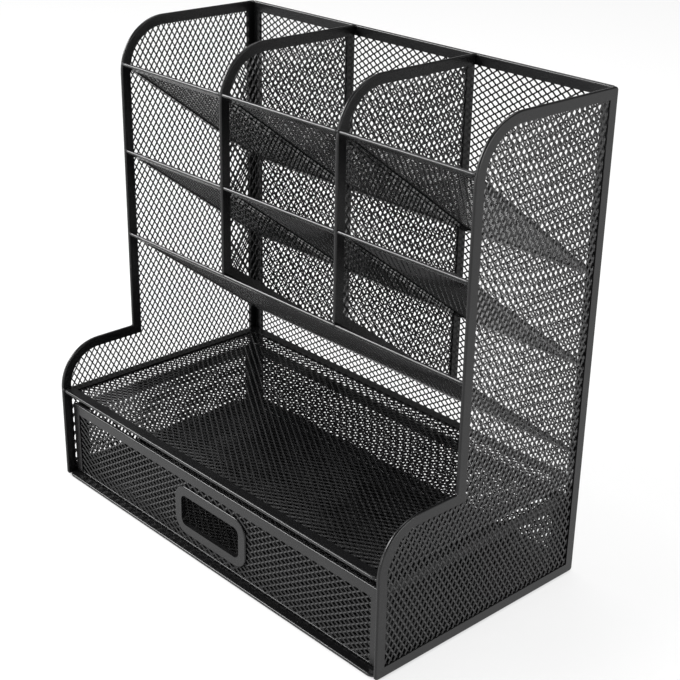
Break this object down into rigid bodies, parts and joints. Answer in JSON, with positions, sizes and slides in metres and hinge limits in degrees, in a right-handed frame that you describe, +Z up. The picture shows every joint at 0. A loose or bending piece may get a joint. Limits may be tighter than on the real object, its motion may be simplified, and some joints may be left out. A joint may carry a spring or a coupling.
{
  "type": "pen stand with drawer",
  "caption": "Black mesh desk organizer: open pockets with sloping shelves between dividers, a low front tray and a slide-out drawer with a hand-hole.",
  "frame": {"origin": "on the table, under the middle of the stand's outer box with the drawer closed", "axes": "+X to the right seen from the front, +Y from the front to the back, +Z up"},
  "size_m": [0.225, 0.124, 0.223],
  "materials": {
    "black_powder_coat": "semi-gloss black powder coat over steel"
  },
  "bodies": {
    "stand": {"back_frame": "black_powder_coat", "back_mesh": "black_powder_coat", "bottom_frame": "black_powder_coat", "bottom_mesh": "black_powder_coat", "deck_frame": "black_powder_coat", "deck_mesh": "black_powder_coat", "left_cheek_mesh": "black_powder_coat", "left_divider_frame": "black_powder_coat", "left_divider_mesh": "black_powder_coat", "left_side_frame": "black_powder_coat", "left_side_mesh": "black_powder_coat", "lower_shelf_frame": "black_powder_coat", "lower_shelf_mesh": "black_powder_coat", "middle_shelf_center_frame": "black_powder_coat", "middle_shelf_center_mesh": "black_powder_coat", "middle_shelf_left_frame": "black_powder_coat", "middle_shelf_left_mesh": "black_powder_coat", "middle_shelf_right_frame": "black_powder_coat", "middle_shelf_right_mesh": "black_powder_coat", "right_cheek_mesh": "black_powder_coat", "right_divider_frame": "black_powder_coat", "right_divider_mesh": "black_powder_coat", "right_side_frame": "black_powder_coat", "right_side_mesh": "black_powder_coat", "upper_shelf_center_frame": "black_powder_coat", "upper_shelf_center_mesh": "black_powder_coat", "upper_shelf_left_frame": "black_powder_coat", "upper_shelf_left_mesh": "black_powder_coat", "upper_shelf_right_frame": "black_powder_coat", "upper_shelf_right_mesh": "black_powder_coat"},
    "drawer": {"drawer_back_hem": "black_powder_coat", "drawer_back_mesh": "black_powder_coat", "drawer_floor_mesh": "black_powder_coat", "drawer_front_hem": "black_powder_coat", "drawer_front_mesh": "black_powder_coat", "drawer_handle_ring": "black_powder_coat", "drawer_left_hem": "black_powder_coat", "drawer_left_mesh": "black_powder_coat", "drawer_right_hem": "black_powder_coat", "drawer_right_mesh": "black_powder_coat"}
  },
  "joints": [
    {"name": "drawer_slide", "type": "slide", "parent": "stand", "child": "drawer", "axis": [0, -1, 0], "range_m": [0, 0.09]}
  ]
}
